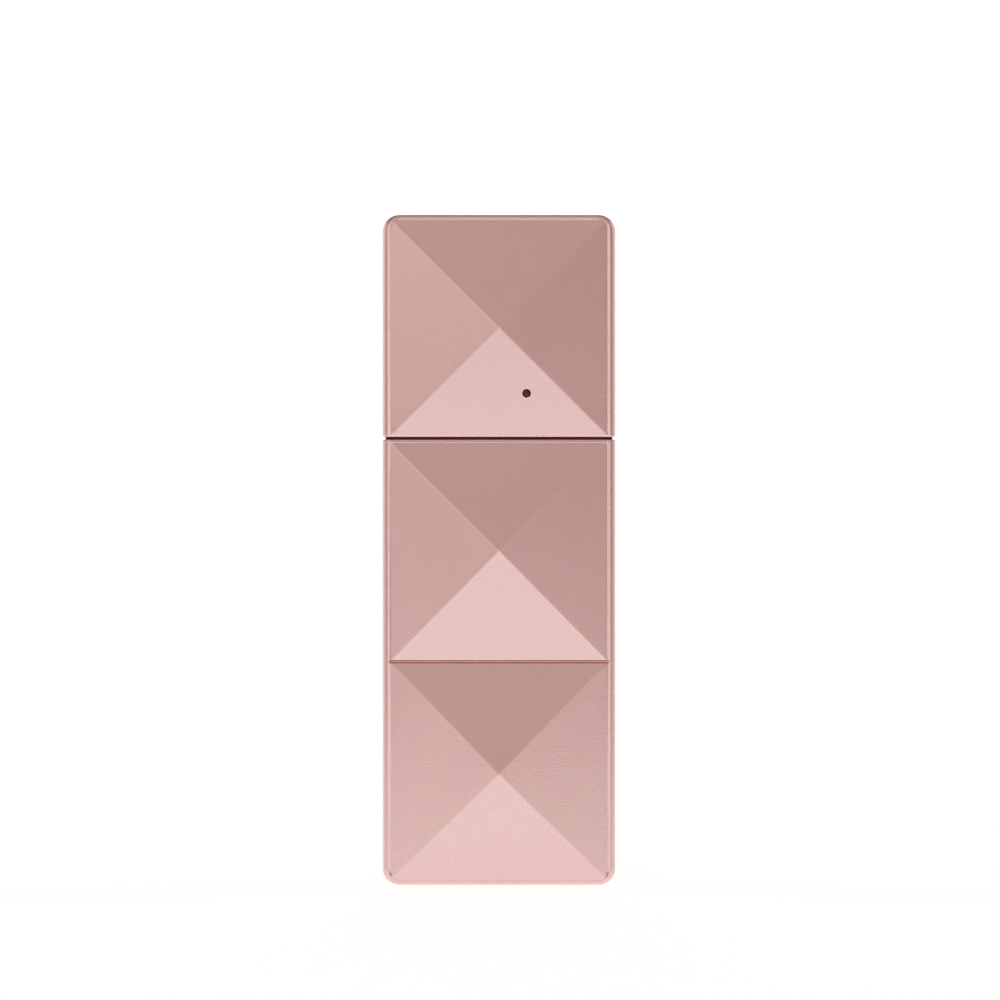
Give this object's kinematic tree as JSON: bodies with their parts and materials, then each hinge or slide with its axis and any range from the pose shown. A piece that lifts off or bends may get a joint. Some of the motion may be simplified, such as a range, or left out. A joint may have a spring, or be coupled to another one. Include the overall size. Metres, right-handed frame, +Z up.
{
  "type": "skin scrubber",
  "caption": "Slim handheld ultrasonic skin scrubber in satin rose, with pyramid facets on the front, a pull-off cap over a steel spatula blade, and back buttons.",
  "frame": {"origin": "middle of the base, between the front tips of the pyramids and the flat back", "axes": "+Z up along the length from the base to the top of the cap, -Y is the faceted front, +X is to the right seen from the front"},
  "size_m": [0.043, 0.02, 0.124],
  "materials": {
    "rose_paint": "satin metallic rose paint with a very fine sparkle, over moulded plastic",
    "rose_trim": "deeper satin rose paint over moulded plastic",
    "neck_plastic": "dark maroon moulded plastic, fine satin",
    "tinted_window": "dark red tinted clear plastic",
    "silicone": "matte black silicone",
    "blade_steel": "fine lengthwise brushed stainless steel",
    "machined_steel": "turned steel with fine rings",
    "horn_alloy": "machined aluminium",
    "zinc_screw": "zinc plated steel",
    "piezo_ceramic": "fired lead zirconate ceramic, satin",
    "copper": "bare copper",
    "frame_plastic": "dark grey moulded nylon, fine grain",
    "insulator_plastic": "natural white plastic",
    "battery_pouch": "soft aluminium laminate pouch",
    "foam": "dense black foam",
    "circuit_board": "green solder mask on glass laminate",
    "amber_board": "amber polyimide tape over a small board",
    "chip_plastic": "black moulded epoxy",
    "capacitor_body": "tan ceramic",
    "ferrite": "dark grey sintered ferrite",
    "wire_jacket": "soft PVC wire jacket",
    "clear_plastic": "clear moulded acrylic",
    "led_body": "cream package with a yellow phosphor top"
  },
  "bodies": {
    "handle": {"front_shell": "rose_paint", "rear_shell": "rose_paint", "control_panel": "rose_trim", "neck_collar": "neck_plastic", "neck_seal_ring": "silicone", "seam_gasket": "neck_plastic", "blade": "blade_steel", "blade_grommet": "silicone", "blade_pins": "machined_steel", "transducer_horn": "horn_alloy", "piezo_rings": "piezo_ceramic", "electrode_tabs": "copper", "transducer_rear_mass": "machined_steel", "transducer_bolt": "zinc_screw", "bolt_sleeve": "insulator_plastic", "isolation_rings": "silicone", "transducer_leads": "wire_jacket", "chassis": "frame_plastic", "battery_cell": "battery_pouch", "battery_foam": "foam", "battery_protection_board": "amber_board", "battery_leads": "wire_jacket", "battery_connector": "insulator_plastic", "main_board": "circuit_board", "controller_chip": "chip_plastic", "charger_chip": "chip_plastic", "drive_transistors": "chip_plastic", "transformer_core": "ferrite", "transformer_winding": "copper", "boost_inductor": "ferrite", "capacitors": "capacitor_body", "tact_switches": "machined_steel", "indicator_leds": "led_body", "indicator_light_pipes": "clear_plastic", "neck_light_pipe": "clear_plastic", "neck_led": "led_body", "neck_light_board": "circuit_board", "neck_light_leads": "wire_jacket", "usb_socket_shell": "machined_steel", "usb_socket_tongue": "chip_plastic", "usb_gasket": "silicone", "case_screws": "zinc_screw", "screw_plugs": "rose_trim", "board_screws": "zinc_screw", "power_button_seal": "silicone", "mode_button_seal": "silicone"},
    "cap": {"cap_shell": "rose_paint", "cap_liner": "neck_plastic", "cap_window": "tinted_window"},
    "power_button": {"power_button": "rose_trim", "power_switch_stem": "chip_plastic"},
    "mode_button": {"mode_button": "rose_trim", "mode_switch_stem": "chip_plastic"}
  },
  "joints": [
    {"name": "cap_pull_off", "type": "slide", "parent": "handle", "child": "cap", "axis": [0, 0, 1], "range_m": [0, 0.05]},
    {"name": "power_button_press", "type": "slide", "parent": "handle", "child": "power_button", "axis": [0, -1, 0], "range_m": [0, 0.0004], "stiffness_N_per_m": 1000},
    {"name": "mode_button_press", "type": "slide", "parent": "handle", "child": "mode_button", "axis": [0, -1, 0], "range_m": [0, 0.0004], "stiffness_N_per_m": 1000}
  ]
}
